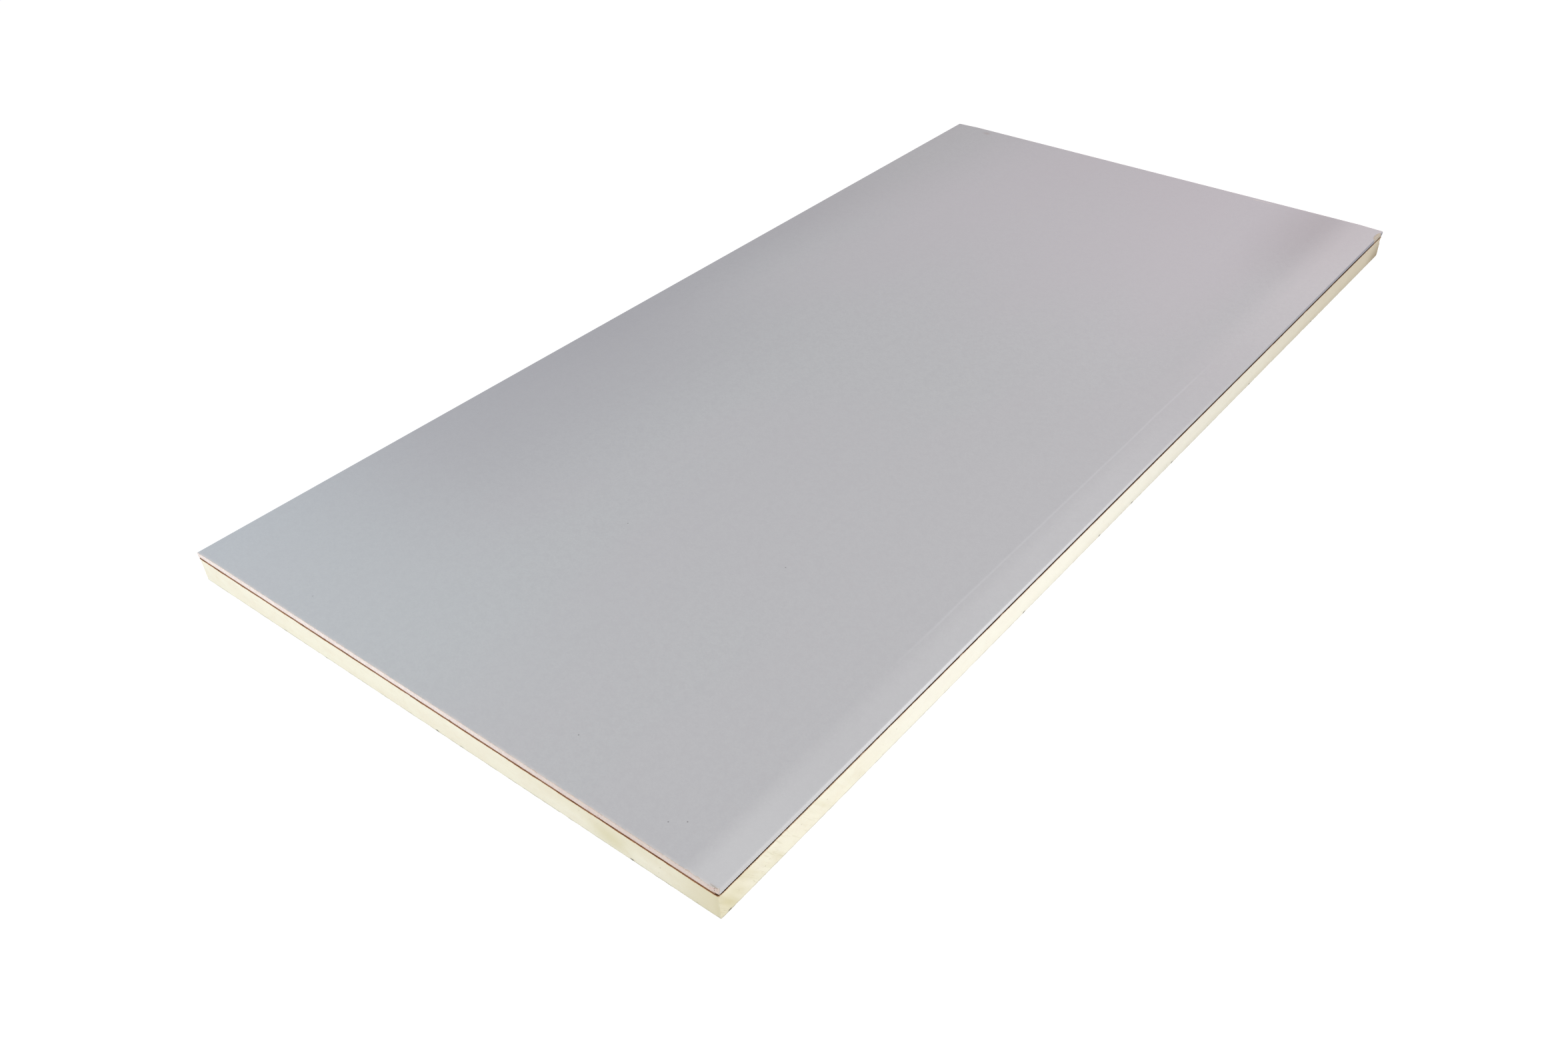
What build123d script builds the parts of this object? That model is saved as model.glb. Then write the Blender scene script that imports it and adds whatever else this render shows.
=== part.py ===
from build123d import *
import os

# Insulated plasterboard sheet, lying face up: a paper-wrapped plasterboard with tapered
# long edges, glued to a faced rigid foam board. All sizes are in millimetres.
# Origin at the middle of the underside. +X runs across the sheet, +Y along it, +Z to its face.

os.makedirs("parts", exist_ok=True)

# Sheet
sheet_width = 1200.0
sheet_length = 2400.0

# Layers, from the floor up
lower_facing_thickness = 0.5
foam_thickness = 47.2
upper_facing_thickness = 0.8
adhesive_thickness = 1.5
board_thickness = 12.5  # over both papers, away from the tapers
paper_thickness = 0.5  # each of the board's two papers

# Tapered long edges of the plasterboard
taper_width = 60.0  # from the board's edge in to the flat of the face
taper_depth = 2.0  # how far the face has dropped at the edge
taper_blend_radius = 220.0  # soft ridge where the taper starts
upper_edge_radius = 2.5  # face paper turning down the edge
lower_edge_radius = 3.0  # face paper turning under the edge

# Papers and glue behind the plasterboard
paper_lap_width = 28.0  # face paper folded under the back, measured from the edge
back_paper_setback = 6.0  # long edge of the back paper, in from the board's edge
adhesive_setback = 7.5  # the glue stops this far short of the board's edge

# Heights of the layers
foam_base = lower_facing_thickness
upper_facing_base = foam_base + foam_thickness
adhesive_base = upper_facing_base + upper_facing_thickness
back_paper_base = adhesive_base + adhesive_thickness
wrap_base = back_paper_base + paper_thickness

# Foam board, faced on both sides. It is as wide and as long as the plasterboard.
with BuildPart() as lower_facing:
    with BuildSketch():
        Rectangle(sheet_width, sheet_length)
    extrude(amount=lower_facing_thickness)

with BuildPart() as foam_core:
    with BuildSketch(Plane.XY.offset(foam_base)):
        Rectangle(sheet_width, sheet_length)
    extrude(amount=foam_thickness)

with BuildPart() as upper_facing:
    with BuildSketch(Plane.XY.offset(upper_facing_base)):
        Rectangle(sheet_width, sheet_length)
    extrude(amount=upper_facing_thickness)

# Glue between the two boards. It stops short of the long edges and leaves a groove there.
with BuildPart() as adhesive:
    with BuildSketch(Plane.XY.offset(adhesive_base)):
        Rectangle(sheet_width - 2 * adhesive_setback, sheet_length)
    extrude(amount=adhesive_thickness)

# Back paper of the plasterboard, lying over the folded laps of the face paper
with BuildPart() as back_paper:
    with BuildSketch(Plane.XY.offset(back_paper_base)):
        Rectangle(sheet_width - 2 * back_paper_setback, sheet_length)
    extrude(amount=paper_thickness)

# Cross-section over the wrapped board, without its back paper. It stands at the far cut end,
# and what is drawn on it is extruded to the near one. The face is flat between two shallow
# tapers, and each long edge is rounded above and below.
half_width = sheet_width / 2
wrap_height = board_thickness - paper_thickness
edge_height = wrap_height - taper_depth
section_plane = Plane(
    origin=(0, sheet_length / 2, wrap_base),
    x_dir=(1, 0, 0),
    z_dir=(0, -1, 0),
)

with BuildSketch(section_plane) as wrap_outline:
    with BuildLine():
        Polyline(
            (-half_width, 0),
            (half_width, 0),
            (half_width, edge_height),
            (half_width - taper_width, wrap_height),
            (taper_width - half_width, wrap_height),
            (-half_width, edge_height),
            close=True,
        )
    make_face()
    back_corners, shoulders, taper_starts = vertices().group_by(Axis.Y)
    fillet(taper_starts, taper_blend_radius)
    fillet(shoulders, upper_edge_radius)
    fillet(back_corners, lower_edge_radius)

# The gypsum fills the wrap, and between the two laps it stands down onto the back paper
with BuildSketch(section_plane) as core_section:
    add(wrap_outline.sketch_local)
    offset(amount=-paper_thickness)
    Rectangle(
        sheet_width - 2 * paper_lap_width,
        wrap_height / 2,
        align=(Align.CENTER, Align.MIN),
    )

with BuildPart() as gypsum_core:
    extrude(core_section.sketch, amount=sheet_length)

# Face paper: one sheet over the face, round both long edges and folded under the back
with BuildPart() as face_paper:
    with BuildSketch(section_plane):
        add(wrap_outline.sketch_local)
        add(core_section.sketch_local, mode=Mode.SUBTRACT)
    extrude(amount=sheet_length)

lower_facing.part.label = "lower_facing"
foam_core.part.label = "foam_core"
upper_facing.part.label = "upper_facing"
adhesive.part.label = "adhesive"
back_paper.part.label = "back_paper"
gypsum_core.part.label = "gypsum_core"
face_paper.part.label = "face_paper"

export_step(lower_facing.part, "parts/lower_facing.step")
export_step(foam_core.part, "parts/foam_core.step")
export_step(upper_facing.part, "parts/upper_facing.step")
export_step(adhesive.part, "parts/adhesive.step")
export_step(back_paper.part, "parts/back_paper.step")
export_step(gypsum_core.part, "parts/gypsum_core.step")
export_step(face_paper.part, "parts/face_paper.step")
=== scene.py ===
import bpy
import math
from mathutils import Matrix, Vector, noise
from mathutils.geometry import delaunay_2d_cdt


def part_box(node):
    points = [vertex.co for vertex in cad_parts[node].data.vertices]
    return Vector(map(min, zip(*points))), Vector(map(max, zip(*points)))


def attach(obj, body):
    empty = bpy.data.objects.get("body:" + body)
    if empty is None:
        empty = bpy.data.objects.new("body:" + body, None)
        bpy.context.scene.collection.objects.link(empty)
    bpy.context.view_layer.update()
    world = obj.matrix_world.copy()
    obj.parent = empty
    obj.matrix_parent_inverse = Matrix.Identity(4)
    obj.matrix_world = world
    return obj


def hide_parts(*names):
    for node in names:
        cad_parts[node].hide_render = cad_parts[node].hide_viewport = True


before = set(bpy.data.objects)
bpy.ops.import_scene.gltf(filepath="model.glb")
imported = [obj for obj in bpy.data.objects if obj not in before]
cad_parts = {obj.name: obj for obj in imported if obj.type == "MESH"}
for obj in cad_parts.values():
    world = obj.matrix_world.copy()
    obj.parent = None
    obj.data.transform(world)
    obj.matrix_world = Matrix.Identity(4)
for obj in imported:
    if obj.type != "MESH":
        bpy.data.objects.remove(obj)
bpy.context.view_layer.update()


# Lower facing: the thin grey paper that the foam was made on, and that the sheet lies on.
# It was sawn with the foam, so its edge is slightly frayed and has picked up dirt.


class Wire:
    """An output of a node. Arithmetic on it adds Math nodes to the same tree."""

    def __init__(self, nodes, socket):
        self.nodes = nodes
        self.socket = socket

    def output(self, name):
        """Another output of the same node."""
        return Wire(self.nodes, self.socket.node.outputs[name])

    def math(self, operation, *others):
        return self.nodes.math(operation, self, *others)

    def __add__(self, other):
        return self.math("ADD", other)

    def __sub__(self, other):
        return self.math("SUBTRACT", other)

    def __rsub__(self, other):
        return self.nodes.math("SUBTRACT", other, self)

    def __mul__(self, other):
        return self.math("MULTIPLY", other)

    def __truediv__(self, other):
        return self.math("DIVIDE", other)

    def __rtruediv__(self, other):
        return self.nodes.math("DIVIDE", other, self)

    def __lt__(self, other):
        return self.math("LESS_THAN", other)

    __radd__ = __add__
    __rmul__ = __mul__

    def size(self):
        """The number without its sign."""
        return self.math("ABSOLUTE")

    def parts(self):
        """X, Y and Z of a vector, or red, green and blue of a colour."""
        x = self.nodes.node("ShaderNodeSeparateXYZ", {}, {"Vector": self})
        return x, x.output("Y"), x.output("Z")

    def ramp(self, low, high):
        """0 below low, 1 above high and smooth between them. It falls where low is the larger."""
        ends = {"From Min": low, "From Max": high, "To Min": 0.0, "To Max": 1.0}
        if low > high:
            ends = {"From Min": high, "From Max": low, "To Min": 1.0, "To Max": 0.0}
        return self.nodes.node(
            "ShaderNodeMapRange", {"interpolation_type": "SMOOTHSTEP"}, {"Value": self, **ends}
        )


class Nodes:
    """A node tree under construction."""

    def __init__(self, tree):
        self.tree = tree

    def node(self, kind, settings=None, sockets=None, output=0):
        """Adds a node, sets it up, fills its sockets and returns one of its outputs."""
        node = self.tree.nodes.new(kind)
        for key, value in (settings or {}).items():
            setattr(node, key, value)
        for key, value in (sockets or {}).items():
            named = [socket for socket in node.inputs if socket.name == key and socket.enabled]
            socket = named[0] if named else node.inputs[key]
            several = isinstance(value, tuple) and isinstance(value[0], Wire)
            for one in value if several else (value,):
                if isinstance(one, Wire):
                    self.tree.links.new(one.socket, socket)
                else:
                    socket.default_value = one
        shown = [socket for socket in node.outputs if socket.enabled]
        if not shown:
            return None
        return Wire(self, node.outputs[output] if isinstance(output, str) else shown[output])

    def math(self, operation, *values):
        return self.node("ShaderNodeMath", {"operation": operation}, dict(enumerate(values)))

    def vector(self, operation, *values):
        return self.node("ShaderNodeVectorMath", {"operation": operation}, dict(enumerate(values)))

    def point(self, x=0.0, y=0.0, z=0.0):
        return self.node("ShaderNodeCombineXYZ", {}, {"X": x, "Y": y, "Z": z})

    def clouds(self, place, size, detail=3.0, stretch=None, twist=0.0):
        """Soft noise about 0.5, with lumps of that size, longer where stretched."""
        if stretch:
            place = self.vector("DIVIDE", place, stretch)
        sockets = {"Vector": place, "Scale": 1 / size, "Detail": detail, "Distortion": twist}
        return self.node("ShaderNodeTexNoise", {}, sockets)

    def spots(self, place, spacing, radius, share=1.0):
        """Round spots about that far apart, 1 at their middles and 0 at their radius.
        Only that share of them is kept."""
        reach = self.node("ShaderNodeTexVoronoi", {}, {"Vector": place, "Scale": 1 / spacing})
        kept = reach.output("Color").parts()[0] < share
        return (1 - (reach * spacing / radius).math("MINIMUM", 1.0)) * kept

    def near(self, place, middle, reach):
        """1 at the middle and 0 beyond that reach, where reach is a length or an X, Y and Z."""
        if isinstance(reach, tuple):
            away = self.vector("DIVIDE", self.vector("SUBTRACT", place, middle), reach)
            return self.vector("LENGTH", away).ramp(1.0, 0.0)
        return self.vector("DISTANCE", place, middle).ramp(reach, 0.0)

    def mix(self, share, first, second):
        """The first colour turned into the second by that share."""
        colours = {"Factor": share, "A": first, "B": second}
        return self.node("ShaderNodeMix", {"data_type": "RGBA"}, colours)


def colour(code):
    """Linear red, green, blue and alpha of a hex colour."""
    parts = [int(code[i : i + 2], 16) / 255 for i in (0, 2, 4)]
    return [p / 12.92 if p <= 0.04045 else ((p + 0.055) / 1.055) ** 2.4 for p in parts] + [1.0]


class Finish(Nodes):
    """The node tree of a material, with patterns laid out in metres by the place on the piece."""

    def __init__(self, name, code):
        self.material = bpy.data.materials.new(name)
        self.material.use_nodes = True
        self.material.node_tree.nodes.clear()
        super().__init__(self.material.node_tree)
        coordinates = self.node("ShaderNodeTexCoord", output="Object")
        self.place = coordinates
        self.faces = coordinates.output("Normal")
        self.base = colour(code)

    def tint(self, share, code):
        """Turns what the colour is so far into another one by that share."""
        self.base = self.mix(share, self.base, colour(code))

    def finish(self, roughness, height, depth, **constants):
        """Ends the tree in a shader with that roughness and a bump of that depth in metres."""
        bump = self.node("ShaderNodeBump", {}, {"Height": height, "Distance": depth})
        sockets = {"Base Color": self.base, "Roughness": roughness, "Normal": bump}
        sockets.update({key.replace("_", " "): value for key, value in constants.items()})
        shader = self.node("ShaderNodeBsdfPrincipled", {}, sockets)
        self.node("ShaderNodeOutputMaterial", {}, {"Surface": shader})
        return self.material


class Recipe(Nodes):
    """A Geometry Nodes tree under construction, with named and typed inputs."""

    def __init__(self, name, inputs):
        tree = bpy.data.node_groups.new(name, "GeometryNodeTree")
        for key, kind in {"Geometry": "Geometry", **inputs, "Material": "Material"}.items():
            tree.interface.new_socket(key, in_out="INPUT", socket_type="NodeSocket" + kind)
        tree.interface.new_socket("Geometry", in_out="OUTPUT", socket_type="NodeSocketGeometry")
        super().__init__(tree)
        self.given = self.node("NodeGroupInput").output
        self.place = self.node("GeometryNodeInputPosition")

    def move(self, geometry, **how):
        return self.node("GeometryNodeSetPosition", {}, {"Geometry": geometry, **how})

    def finish(self, geometry):
        real = self.node("GeometryNodeRealizeInstances", {}, {"Geometry": geometry})
        coated = {"Geometry": real, "Material": self.given("Material")}
        shown = self.node("GeometryNodeSetMaterial", {}, coated)
        self.node("NodeGroupOutput", {}, {"Geometry": shown})

    def make(self, name, values, start=None, crease=40):
        """Runs the tree, and leaves its result as a plain mesh with edges sharper than crease."""
        piece = bpy.data.objects.new(name, start or bpy.data.meshes.new(name))
        bpy.context.scene.collection.objects.link(piece)
        modifier = piece.modifiers.new(name, "NODES")
        modifier.node_group = self.tree
        for socket in self.tree.interface.items_tree:
            if socket.in_out == "INPUT" and socket.name in values:
                modifier[socket.identifier] = values[socket.name]
        result = piece.evaluated_get(bpy.context.evaluated_depsgraph_get())
        mesh = bpy.data.meshes.new_from_object(result)
        piece.modifiers.clear()
        piece.data = mesh
        mesh.name = name
        mesh.materials.clear()
        mesh.materials.append(values["Material"])
        mesh.polygons.foreach_set("material_index", [0] * len(mesh.polygons))
        mesh.shade_smooth()
        mesh.set_sharp_from_angle(angle=math.radians(crease))
        return piece


def layer_inputs():
    """The inputs of a flat layer with sawn edges."""
    sizes = ("Width", "Length", "Bottom", "Top", "Step", "Waviness", "Grain", "Pit Depth")
    return {key: "Float" for key in sizes + ("Pit Spacing", "Pit Share", "Corner Wear", "Seed")} | {
        "Rows": "Int",
        "Nick Place": "Vector",
        "Nick Depth": "Float",
    }


# A flat layer with sawn edges: a wall round the outline, a lid above and one below, and then
# every point of the wall sunk in by the waviness of the cut, its pits and its worn corners.
sawn_layer = Recipe("sawn_layer", layer_inputs())
given = sawn_layer.given
place = sawn_layer.place
columns = ((given("Width") + given("Length")) * 2 / given("Step")).math("ROUND")
outline = sawn_layer.node(
    "GeometryNodeCurvePrimitiveQuadrilateral",
    {},
    {"Width": given("Width"), "Height": given("Length")},
)
strip = sawn_layer.node(
    "GeometryNodeMeshGrid",
    {},
    {"Size X": 1.0, "Size Y": 1.0, "Vertices X": columns + 1, "Vertices Y": given("Rows") + 1},
)
around, up, _ = place.parts()
on_outline = sawn_layer.node(
    "GeometryNodeSampleCurve",
    {"mode": "FACTOR"},
    {"Curves": outline, "Factor": around + 0.5},
    "Position",
)
height = (up + 0.5) * (given("Top") - given("Bottom")) + given("Bottom")
lifted = sawn_layer.vector("ADD", on_outline, sawn_layer.point(z=height))
wall = sawn_layer.move(strip, Position=lifted)

rim = sawn_layer.node(
    "GeometryNodeResampleCurve", {"mode": "COUNT"}, {"Curve": outline, "Count": columns}
)
lid = sawn_layer.node("GeometryNodeFillCurve", {"mode": "TRIANGLES"}, {"Curve": rim})
upper = sawn_layer.move(lid, Offset=sawn_layer.point(z=given("Top")))
lower = sawn_layer.move(lid, Offset=sawn_layer.point(z=given("Bottom")))
lower = sawn_layer.node("GeometryNodeFlipFaces", {}, {"Mesh": lower})
shell = sawn_layer.node("GeometryNodeJoinGeometry", {}, {"Geometry": (wall, upper, lower)})
shell = sawn_layer.node("GeometryNodeMergeByDistance", {}, {"Geometry": shell, "Distance": 2e-5})

x, y, _ = place.parts()
from_side = given("Width") * 0.5 - x.size()
from_end = given("Length") * 0.5 - y.size()
seeded = sawn_layer.vector("ADD", place, sawn_layer.point(x=given("Seed"), z=given("Seed") * 0.7))
wave = sawn_layer.clouds(seeded, given("Grain")).ramp(0.3, 0.75) * given("Waviness")
spacing = given("Pit Spacing")
pit = sawn_layer.spots(seeded, spacing, spacing * 0.45, given("Pit Share"))
at_corner = (from_side + from_end).ramp(0.009, 0.0)
worn = at_corner * sawn_layer.clouds(seeded, 0.004) * given("Corner Wear")
nick = sawn_layer.near(place, given("Nick Place"), 0.007) * given("Nick Depth")
depth = wave + pit.ramp(0.0, 0.8) * given("Pit Depth") + worn + nick
sunk = sawn_layer.point(
    x=(from_side < 1e-4) * x.math("SIGN") * depth * -1,
    y=(from_end < 1e-4) * y.math("SIGN") * depth * -1,
)
sawn_layer.finish(sawn_layer.move(shell, Offset=sunk))


def layer_values(node, material, **values):
    """The inputs of a sawn layer that fills a CAD node. Lengths are in metres."""
    low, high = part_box(node)
    found = {
        "Width": high.x - low.x,
        "Length": high.y - low.y,
        "Bottom": low.z,
        "Top": high.z,
        "Step": 0.003,
        "Rows": 2,
        "Pit Depth": 0.0,
        "Pit Spacing": 0.02,
        "Pit Share": 0.0,
        "Corner Wear": 0.0,
        "Nick Depth": 0.0,
        "Material": material,
    }
    found.update({key.replace("_", " "): value for key, value in values.items()})
    return found


look = Finish("grey_facing_paper", "c9c8bf")
fibres = look.clouds(look.place, 0.0012, 4.0, (2.5, 1, 1))
look.tint(fibres.ramp(0.35, 0.7) * 0.7, "b3b2a8")
look.tint(look.clouds(look.place, 0.03).ramp(0.45, 0.7) * 0.5, "a5a397")
dirt = look.spots(look.place, 0.02, 0.0035, 0.35).ramp(0.0, 0.4)
look.tint(dirt * 0.8, "4a4842")
grey_facing_paper = look.finish(0.9, fibres, 0.00015, Specular_IOR_Level=0.2)

lower_facing = sawn_layer.make(
    "lower_facing_paper",
    layer_values(
        "lower_facing",
        grey_facing_paper,
        Waviness=0.0004,
        Grain=0.008,
        Pit_Depth=0.0006,
        Pit_Spacing=0.03,
        Pit_Share=0.3,
        Corner_Wear=0.0008,
        Seed=3.1,
    ),
)
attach(lower_facing, "root")
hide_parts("lower_facing")


# Foam board: pale cream rigid foam, foamed between its two facings and cut to size with a saw.
# The cut sides show its fine cells, soft flow marks, yellowed and dirty patches, and an
# orange-brown stain under the top facing. The long side carries painted light over its middle
# and painted shade over its far half and foot, and the pits carry painted shade.
foam_low, foam_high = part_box("foam_core")
near_corner = (foam_high.x, foam_low.y, foam_high.z)
far_corner_nick = (foam_high.x, foam_high.y, 0.037)

# Dark flecks of dirt along the lower edge of the foam, as X and Y in metres
foot_flecks = (
    (0.6, -1.1815),
    (0.6, -0.4285),
    (0.6, -0.1690),
    (0.6, -0.0460),
    (0.6, 0.1160),
    (0.6, 0.4685),
    (0.6, 0.7940),
    (0.021, -1.2),
    (0.436, -1.2),
)

look = Finish("rigid_foam", "f6f3e1")
flow = look.clouds(look.place, 0.05, 3.0, (1.6, 1.6, 0.7), 1.2)
cells = look.clouds(look.place, 0.0011, 3.0)
look.tint(flow.ramp(0.35, 0.7) * 0.6, "f2ecd9")
look.tint(look.clouds(look.place, 0.014, 2.0).ramp(0.5, 0.8) * 0.25, "ebe2c9")
look.tint(cells.ramp(0.3, 0.8) * 0.12, "e9dfc0")
streaks = look.clouds(look.place, 0.016, 3.0, (3.0, 3.0, 1.0), 2.5)
look.tint(streaks.ramp(0.58, 0.78) * 0.2, "e0d4b3")
across, along, high = look.place.parts()
right_side = across.ramp(0.595, 0.5995)
# Painted light: the right long side is lighter and less yellow from near its near end to its
# middle.
look.tint(right_side * along.ramp(-1.0, -0.7) * along.ramp(0.6, 0.0) * 0.4, "f4f3ec")
# Painted shade: the right long side turns greyer and darker over its far half.
look.tint(right_side * along.ramp(-0.5, 0.4) * 0.28, "cfccc0")
look.tint(right_side * along.ramp(0.3, 1.2) * 0.40, "c8b48c")
# Painted shade: the right long side is darker towards its foot, over its middle and far half.
look.tint(right_side * high.ramp(0.020, 0.002) * along.ramp(-0.8, 0.0) * 0.12, "8f8c7c")
look.tint(across.ramp(0.1, 0.4) * high.ramp(0.015, 0.04) * across.ramp(0.55, 0.45) * 0.3, "ddd3ae")
look.tint(look.near(look.place, near_corner, (0.13, 0.11, 0.3)) * 0.75, "e0d8b7")
look.tint(look.near(look.place, (0.395, foam_low.y, 0.020), (0.06, 0.02, 0.03)) * 0.55, "d9d2a6")
look.tint(look.near(look.place, (0.600, -1.178, 0.02), (0.02, 0.04, 0.05)) * 0.5, "d0c796")
look.tint(look.near(look.place, (0.600, 1.200, 0.0), (0.1, 0.10, 0.06)) * 0.6, "94825f")
look.tint(cells.ramp(0.55, 0.75) * 0.1, "c0b592")
pits = look.clouds(look.place, 0.005, 1.0).ramp(0.735, 0.80)
# Painted shade in the pits of the cut sides.
look.tint(pits * 0.35, "a39668")
slanted = look.point(x=across * 0.3, y=along + high * 0.8, z=high * 0.2)
bands = look.clouds(slanted, 0.028, 2.0, twist=0.6)
by_corner = right_side * along.ramp(-0.7, -1.12)
look.tint(bands.ramp(0.45, 0.65) * by_corner * 0.5, "f5f0dc")
look.tint(bands.ramp(0.5, 0.3) * by_corner * 0.25, "d8cfa6")
wisps = look.clouds(slanted, 0.007, 3.0, (1.0, 1.0, 1.6), 2.0)
look.tint(wisps.ramp(0.56, 0.68) * right_side * along.ramp(-0.9, -1.15) * 0.3, "c3bb95")
stained = high + look.clouds(look.place, 0.012) * 0.003
skin = stained.ramp(foam_high.z - 0.0009, foam_high.z + 0.0007)
look.tint(skin * right_side.ramp(1.8, 0.0), "c08c50")
darkened = high + look.clouds(look.place, 0.008) * 0.0012
by_glue = darkened.ramp(foam_high.z - 0.0003, foam_high.z + 0.0005)
look.tint(by_glue * across.size().ramp(0.5985, 0.597), "6f4a30")
greyed = high - look.clouds(look.place, 0.008) * 0.002
foot = greyed.ramp(foam_low.z + 0.0014, foam_low.z - 0.0008)
look.tint(foot * 0.4, "bfbba6")
for fleck_x, fleck_y in foot_flecks:
    fleck = look.near(look.place, (fleck_x, fleck_y, 0.0015), (0.006, 0.006, 0.003))
    look.tint(fleck * 0.9, "4c4a42")
rigid_foam = look.finish(0.85, cells + pits * -1.5 + streaks * 0.4, 0.0004, Specular_IOR_Level=0.25)

foam_core = sawn_layer.make(
    "foam_board",
    layer_values(
        "foam_core",
        rigid_foam,
        Step=0.0024,
        Rows=20,
        Waviness=0.0004,
        Grain=0.035,
        Pit_Depth=0.0007,
        Pit_Spacing=0.016,
        Pit_Share=0.15,
        Corner_Wear=0.0012,
        Nick_Place=far_corner_nick,
        Nick_Depth=0.003,
        Seed=7.7,
    ),
)
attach(foam_core, "root")
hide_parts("foam_core")


# Upper facing: the brown kraft paper on top of the foam, which the glue was spread on.
# Its cut edge is the lower part of the dark brown line. Its top is painted dark: partly
# glue that darkened it, partly painted shade of the groove under the wrapped edge.
look = Finish("kraft_facing_paper", "8d5c33")
fibres = look.clouds(look.place, 0.0011, 4.0, (3.0, 3.0, 1))
look.tint(fibres.ramp(0.4, 0.75) * 0.7, "74482a")
# Painted dark top: glue stain and painted shade of the groove under the wrapped edge.
look.tint(look.faces.parts()[2].ramp(0.5, 0.9), "33241b")
kraft_facing_paper = look.finish(0.88, fibres, 0.0002, Specular_IOR_Level=0.2)

upper_facing = sawn_layer.make(
    "upper_facing_paper",
    layer_values(
        "upper_facing",
        kraft_facing_paper,
        Waviness=0.0005,
        Grain=0.006,
        Pit_Depth=0.0008,
        Pit_Spacing=0.02,
        Pit_Share=0.2,
        Corner_Wear=0.003,
        Seed=11.3,
    ),
)
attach(upper_facing, "root")
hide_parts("upper_facing")


# Glue: a hard dark brown layer that joins the two boards. It stops short of the long
# edges, and where it was sawn through it is slightly ragged and shinier than the papers.
# Its set-back long edges are painted near black, as painted shade of the groove.
look = Finish("dark_glue", "794c34")
lumps = look.clouds(look.place, 0.004, 4.0)
look.tint(lumps.ramp(0.45, 0.75), "684330")
look.tint(look.clouds(look.place, 0.02).ramp(0.5, 0.7) * 0.6, "5a3826")
by_paper = look.place.parts()[2].ramp(0.0493, 0.0499)
look.tint(by_paper * 0.6, "a98572")
# Painted shade: the set-back long edges, deep in the groove, are near black.
look.tint(look.place.parts()[0].size().ramp(0.5922, 0.5925) * 0.9, "2b1c14")
dark_glue = look.finish(lumps.ramp(0.3, 0.8) * 0.3 + 0.45, lumps, 0.0006)

adhesive = sawn_layer.make(
    "glue_layer",
    layer_values(
        "adhesive",
        dark_glue,
        Waviness=0.0007,
        Grain=0.009,
        Pit_Depth=0.0008,
        Pit_Spacing=0.011,
        Pit_Share=0.3,
        Seed=17.9,
    ),
)
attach(adhesive, "root")
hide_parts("adhesive")


# Back paper: the dull brown-grey paper on the back of the plasterboard, over the folded laps
# of the face paper. Only its cut edges show, as the paler upper part of the brown line.
look = Finish("brown_back_paper", "b4917f")
fibres = look.clouds(look.place, 0.0011, 4.0, (3.0, 3.0, 1))
look.tint(fibres.ramp(0.4, 0.75) * 0.6, "9b7765")
brown_back_paper = look.finish(0.9, fibres, 0.0002, Specular_IOR_Level=0.2)

back_paper = sawn_layer.make(
    "back_paper_sheet",
    layer_values("back_paper", brown_back_paper, Waviness=0.0007, Grain=0.005, Seed=23.2),
)
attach(back_paper, "root")
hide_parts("back_paper")


# Gypsum core: white to pinkish plaster, cast between the two papers while wet. The long edges
# are wrapped by the face paper and tapered, and both ends are sawn, so there it shows its
# pores, saw marks, chipped upper edge and a crumbled near corner.
half_width = 0.6
half_length = 1.2
wrap_base = 0.0505
wrap_height = 0.012
edge_height = 0.010
taper_width = 0.060
taper_depth = 0.002
taper_blend_radius = 0.220
upper_edge_radius = 0.0025
lower_edge_radius = 0.003
paper_thickness = 0.0005
lap_width = 0.028


def wrap_outline(inset):
    """Half of the board's outline as X and Z: from the middle of the underside round the right
    edge to the middle of the face, that far inside the outer surface."""
    corners = [
        Vector((0, 0)),
        Vector((half_width, 0)),
        Vector((half_width, edge_height)),
        Vector((half_width - taper_width, wrap_height)),
        Vector((0, wrap_height)),
    ]
    radii = (lower_edge_radius, upper_edge_radius, taper_blend_radius)
    ways = [(b - a).normalized() for a, b in zip(corners, corners[1:])]
    moved = [Vector((0, inset))]
    for corner, before, after in zip(corners[1:], ways, ways[1:]):
        inwards = Vector((-before.y - after.y, before.x + after.x))
        moved.append(corner + inwards * (inset / (1 + before.dot(after))))
    moved.append(Vector((0, wrap_height - inset)))
    points = [moved[0]]
    for corner, radius, before, after in zip(moved[1:], radii, ways, ways[1:]):
        radius -= inset
        turn = before.angle(after)
        middle = corner + (after - before).normalized() * (radius / math.cos(turn / 2))
        start = corner - before * (radius * math.tan(turn / 2)) - middle
        steps = 6
        for step in range(steps + 1):
            turned = Matrix.Rotation(turn * step / steps, 2) @ start
            points.append(middle + turned)
    points.append(moved[-1])
    return [Vector((p.x, p.y + wrap_base)) for p in points]


def divided(points, step):
    """The same line with points added so that none are farther apart than that step."""
    path = [points[0]]
    for start, end in zip(points, points[1:]):
        pieces = max(1, math.ceil((end - start).length / step - 1e-6))
        path += [start.lerp(end, i / pieces) for i in range(1, pieces + 1)]
    return path


def face_sag(x, y):
    """How far the face lies below its highest level. It is slightly wavy along the sheet."""
    wavy = 0.5 + 0.5 * noise.noise(Vector((x * 2.2, y * 1.3, 0.4)))
    ridge = math.exp(-(((abs(x) - half_width + taper_width + 0.003 * wavy) / 0.004) ** 2))
    return 0.00012 + 0.00016 * wavy - 0.0001 * ridge


def sagged(x, y, z):
    """The height of a point of the board, let down with the face over its upper half."""
    share = min(1.0, max(0.0, (z - wrap_base) / wrap_height * 2 - 1))
    return z - face_sag(x, y) * share


# How the lower edge is pressed: where along Y it starts, over what length, and at most how far
near_press_start = -0.2
near_press_length = 0.9
far_press_start = 1.05
far_press_length = 0.12
fullest_press = 0.65


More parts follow.
